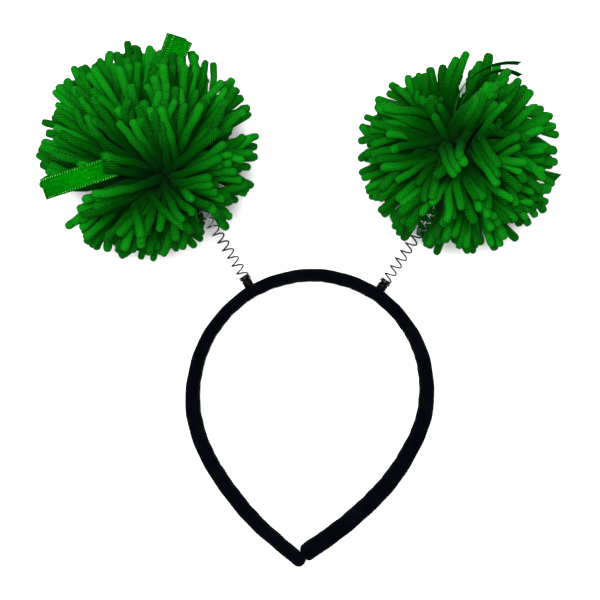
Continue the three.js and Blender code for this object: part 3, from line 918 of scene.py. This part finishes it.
def strand_mesh(name, lines, kept, tints, pompom, rng):
    """Strands of yarn as one mesh, with its UV map.

    The attribute tint is each strand's own, and the depth attribute is painted shade: 0 at the tie and about
    1 at tips on the ball's edge.
    """
    walls, fans = strand_faces()
    tie = np.add(pompom["heart"], pompom["tie"])
    points, faces, uvs, shades, shade_depths = [], [], [], [], []
    for line, share, tint in zip(lines, kept, tints):
        if share < LEAST_KEPT:
            continue
        rings, where, ends = strand_rings(line, share, rng)
        strand = np.concatenate((rings.reshape(-1, 3), ends))
        base = len(points) * len(strand)
        points.append(strand)
        faces += (walls + base).tolist() + (fans + base).tolist()
        uvs.append(strand_uvs(where))
        shades.append(np.full(len(strand), tint))
        # painted shade by depth, from the distance to the tie and the share along the strand
        from_tie = np.linalg.norm(strand - tie, axis=1) / pompom["radius"]
        along = np.concatenate((np.repeat(where / where[-1], STRAND_SIDES), (0.0, 1.0)))
        shade_depths.append(SHADE_DEPTH_FROM_TIE * from_tie + (1 - SHADE_DEPTH_FROM_TIE) * along)
    mesh = bpy.data.meshes.new(name)
    mesh.from_pydata(np.concatenate(points).tolist(), [], faces)
    mesh.uv_layers.new(name="strand").data.foreach_set("uv", np.concatenate(uvs).astype(np.float32))
    for title, values in (("tint", shades), ("shade_depth", shade_depths)):
        attribute = mesh.attributes.new(title, "FLOAT", "POINT")
        attribute.data.foreach_set("value", np.concatenate(values).astype(np.float32))
    return mesh


def make_pompom(side, material):
    """Two sprays of yarn, one each side of the tie."""
    pompom = POMPOMS[side]
    rng = np.random.default_rng(pompom["seed"])
    lines, spray = strand_lines(side, rng)
    lines = part_for_spring(lines, side)
    floor = YARN_RADIUS * FLOOR_LIFT
    lines[:, :, 2] = floor + np.logaddexp(0, (lines[:, :, 2] - floor) / FLOOR_EASE) * FLOOR_EASE
    tufted = slice(STRANDS, len(lines))
    under = under_lines(side, rng)
    lines, kept = clear_of_ribbons(np.concatenate((lines, under)), side, tufted)
    spray = np.concatenate((spray, np.ones(len(under))))
    tints = rng.uniform(-TINT_SPREAD, TINT_SPREAD, len(lines))
    for end, sign in (("head", 1.0), ("foot", -1.0)):
        chosen = spray == sign
        name = f"{side}_pompom_{end}"
        mesh = strand_mesh(name, lines[chosen], kept[chosen], tints[chosen], pompom, rng)
        piece_from_mesh(mesh, name, material, [f"pompom_{side}"])


# Ribbons

RIBBON_COLUMNS = 12
RIBBON_ROW = 0.9
RIBBON_CUP = 0.25  # how far the edges stand off the middle


def tail_strip(side, tail):
    """One tail of satin ribbon, a strip that follows its route, slightly cupped, and its length."""
    route = tail_line(side, tail)
    length = lengths_along(route)[-1]
    rows = round(length / RIBBON_ROW)
    line = even_points(route, rows + 1)
    _, across, face = tail_frame(tail, line)

    def place(row, column):
        k = round(row * rows)
        off = (column - 0.5) * RIBBON_WIDTH
        cup = RIBBON_CUP * (2 * column - 1) ** 2
        return line[k] + across[k] * off + face[k] * cup

    bm = laid_grid(rows, RIBBON_COLUMNS, place)
    layer = bm.loops.layers.uv.verify()
    for bm_face in bm.faces:
        for loop in bm_face.loops:
            loop[layer].uv.y *= length
    return bm, length


def make_ribbon(side, material):
    """Loose tails of satin ribbon, joined to one thin sheet."""
    mesh = bpy.data.meshes.new(f"{side}_ribbon")
    joined = bmesh.new()
    for tail in TAILS[side]:
        bm, length = tail_strip(side, tail)
        bm.to_mesh(mesh)
        bm.free()
        joined.from_mesh(mesh)
    joined.to_mesh(mesh)
    joined.free()
    mesh.uv_layers[0].name = "ribbon"
    ribbon = piece_from_mesh(mesh, f"{side}_ribbon", material, [f"ribbon_{side}"])
    wall = ribbon.modifiers.new("wall", "SOLIDIFY")
    wall.thickness = RIBBON_THICKNESS * MM
    wall.offset = 0.0


make_band(velvet())
plastic, steel, yarn, ribbon_satin = moulded_plastic(), spring_steel(), acrylic_yarn(), satin()
for side in SIDES:
    make_peg(side, plastic)
    make_spring(side, steel)
    make_pompom(side, yarn)
    make_ribbon(side, ribbon_satin)

# Floor, light and camera

FLOOR_HALF = 3.0  # metres
FLOOR_DROP = 0.05  # below the pieces that rest on it
SOFTBOX_PLACE = (-0.1, 0.15, 1.6)  # metres, as its side is
SOFTBOX_SIDE = 0.9
SOFTBOX_POWER = 70.0
WORLD_STRENGTH = 0.15
CAMERA_HEIGHT = 800.0
CAMERA_OVER = (-6.15, -12.4)  # from the crown's middle
IMAGE_SIDE_PX = 600
FOCAL_PX = 1590
SENSOR_MM = 36.0


def make_floor():
    """A pale board under everything."""
    bm = bmesh.new()
    bmesh.ops.create_grid(bm, x_segments=1, y_segments=1, size=FLOOR_HALF)
    bmesh.ops.translate(bm, verts=bm.verts, vec=(0, 0, -FLOOR_DROP * MM))
    mesh = bpy.data.meshes.new("floor")
    bm.to_mesh(mesh)
    bm.free()
    mesh.materials.append(pale_floor())
    floor = bpy.data.objects.new("floor", mesh)
    bpy.context.scene.collection.objects.link(floor)


def make_softbox():
    """One square softbox overhead, turned to the middle of the frame."""
    light = bpy.data.lights.new("softbox", "AREA")
    light.shape = "SQUARE"
    light.size = SOFTBOX_SIDE
    light.energy = SOFTBOX_POWER
    lamp = bpy.data.objects.new("softbox", light)
    lamp.location = SOFTBOX_PLACE
    lamp.rotation_mode = "QUATERNION"
    lamp.rotation_quaternion = (-Vector(SOFTBOX_PLACE)).to_track_quat("-Z", "Y")
    bpy.context.scene.collection.objects.link(lamp)


def make_world():
    """An even white surround, which fills the shadows a little."""
    world = bpy.data.worlds.new("studio")
    world.use_nodes = True
    background = world.node_tree.nodes["Background"]
    background.inputs["Color"].default_value = hex_colour("#ffffff")
    background.inputs["Strength"].default_value = WORLD_STRENGTH
    bpy.context.scene.world = world


def make_camera():
    """A camera that looks straight down."""
    camera = bpy.data.cameras.new("camera")
    camera.sensor_width = SENSOR_MM
    camera.lens = SENSOR_MM * FOCAL_PX / IMAGE_SIDE_PX
    holder = bpy.data.objects.new("camera", camera)
    over = CROWN[:2] + CAMERA_OVER
    holder.location = (over[0] * MM, over[1] * MM, CAMERA_HEIGHT * MM)
    bpy.context.scene.collection.objects.link(holder)
    bpy.context.scene.camera = holder


make_floor()
make_softbox()
make_world()
make_camera()
bpy.context.scene.view_settings.view_transform = "Standard"
